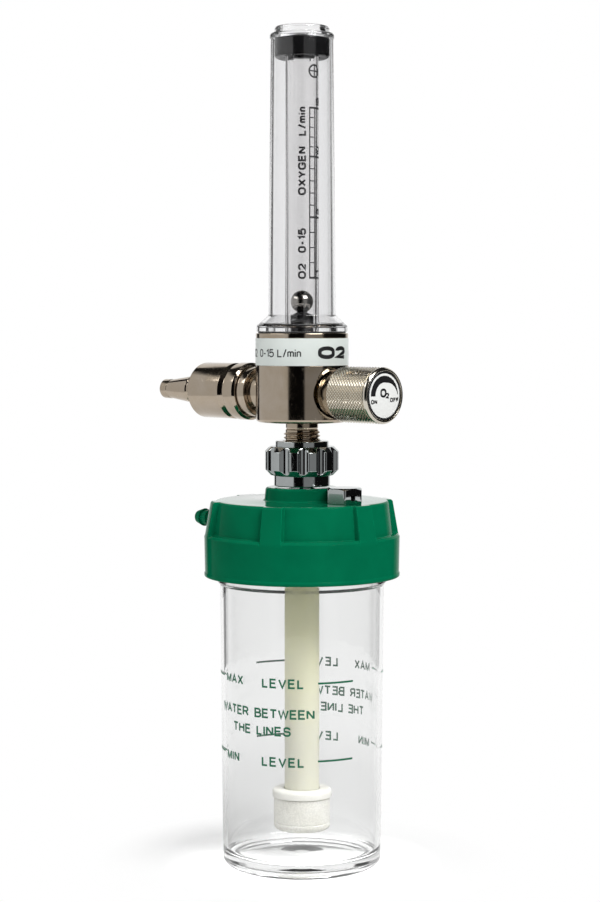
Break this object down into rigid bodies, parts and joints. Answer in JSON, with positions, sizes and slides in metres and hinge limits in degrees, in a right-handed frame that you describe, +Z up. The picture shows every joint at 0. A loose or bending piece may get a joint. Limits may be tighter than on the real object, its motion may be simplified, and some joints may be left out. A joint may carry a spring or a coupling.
{
  "type": "oxygen flowmeter with humidifier bottle",
  "caption": "Oxygen flowmeter with a clear flow tube, float ball, knurled control knob and inlet probe, over a clear humidifier bottle with a screw lid, relief valve and dip tube.",
  "frame": {"origin": "centre of the bottle's flat foot", "axes": "+Z up along the bottle and the flow tube, -Y to the front, where the control knob points, +Y to the back, where the inlet probe points"},
  "size_m": [0.076, 0.1224, 0.3238],
  "materials": {
    "nickel": "warm nickel plating on turned brass",
    "bright_chrome": "bright chrome plating on brass",
    "brass": "bare turned brass",
    "steel": "polished stainless steel",
    "bronze": "porous sintered bronze",
    "green_plastic": "moulded green plastic, semi-gloss",
    "black_rubber": "black sealing rubber",
    "black_plastic": "black turned plastic",
    "clear_plastic": "clear moulded plastic",
    "label": "white printed film",
    "tubing": "milky flexible tubing",
    "white_plastic": "white porous plastic"
  },
  "bodies": {
    "flowmeter": {"valve_body": "nickel", "label_band": "label", "outlet_fitting": "nickel", "cover_gasket": "black_rubber", "tube_cover": "clear_plastic", "ball_tube": "clear_plastic", "tube_o_ring": "black_rubber", "ball_seat": "black_plastic", "top_plug": "black_plastic", "inlet_adaptor": "nickel", "inlet_lock_ring": "nickel", "inlet_filter": "bronze", "inlet_sleeve": "nickel", "inlet_seal_ring": "black_rubber", "inlet_probe": "nickel", "needle_seat": "brass", "valve_bonnet": "brass"},
    "float": {"float_ball": "steel"},
    "stem_seal": {"stem_o_ring": "black_rubber"},
    "knob": {"valve_stem": "steel", "control_knob": "nickel", "knob_face": "label", "knob_set_screw": "steel"},
    "humidifier": {"lid": "green_plastic", "relief_housing": "bright_chrome", "relief_spring": "steel", "tailpiece": "nickel", "tailpiece_o_ring": "black_rubber", "lock_washer": "black_rubber", "lock_nut": "nickel", "dip_tube": "tubing", "diffuser_cap": "white_plastic", "diffuser_stone": "white_plastic"},
    "nut": {"coupling_nut": "bright_chrome"},
    "poppet": {"relief_poppet": "white_plastic"},
    "gasket": {"bottle_gasket": "black_rubber"},
    "bottle": {"bottle": "clear_plastic"}
  },
  "joints": [
    {"name": "float_rise", "type": "slide", "parent": "flowmeter", "child": "float", "axis": [0, 0, 1], "range_m": [0, 0.0877]},
    {"name": "valve_travel", "type": "slide", "parent": "flowmeter", "child": "stem_seal", "axis": [0, -1, 0], "range_m": [0, 0.0009375]},
    {"name": "knob_turn", "type": "hinge", "parent": "stem_seal", "child": "knob", "pos_m": [0, -0.03, 0.1835], "axis": [0, -1, 0], "range_deg": [0, 270]},
    {"name": "humidifier_travel", "type": "slide", "parent": "flowmeter", "child": "humidifier", "axis": [0, 0, -1], "range_m": [0, 0.00423]},
    {"name": "nut_turn", "type": "hinge", "parent": "humidifier", "child": "nut", "pos_m": [0, 0, 0.156], "axis": [0, 0, -1], "range_deg": [0, 1080]},
    {"name": "relief_lift", "type": "slide", "parent": "humidifier", "child": "poppet", "axis": [0, 0, 1], "range_m": [0, 0.0012], "stiffness_N_per_m": 100, "springref_m": -0.0011, "deforming": ["relief_spring"]},
    {"name": "bottle_turn", "type": "hinge", "parent": "humidifier", "child": "gasket", "pos_m": [0, 0, 0.1268], "axis": [0, 0, -1], "range_deg": [0, 630]},
    {"name": "bottle_travel", "type": "slide", "parent": "gasket", "child": "bottle", "axis": [0, 0, -1], "range_m": [0, 0.00702]}
  ],
  "couplings": [
    {"joint": "knob_turn", "follows": "valve_travel", "rad_per_m": 5026.5},
    {"joint": "nut_turn", "follows": "humidifier_travel", "rad_per_m": 4452.9},
    {"joint": "bottle_travel", "follows": "bottle_turn", "m_per_rad": 0.00063662}
  ]
}
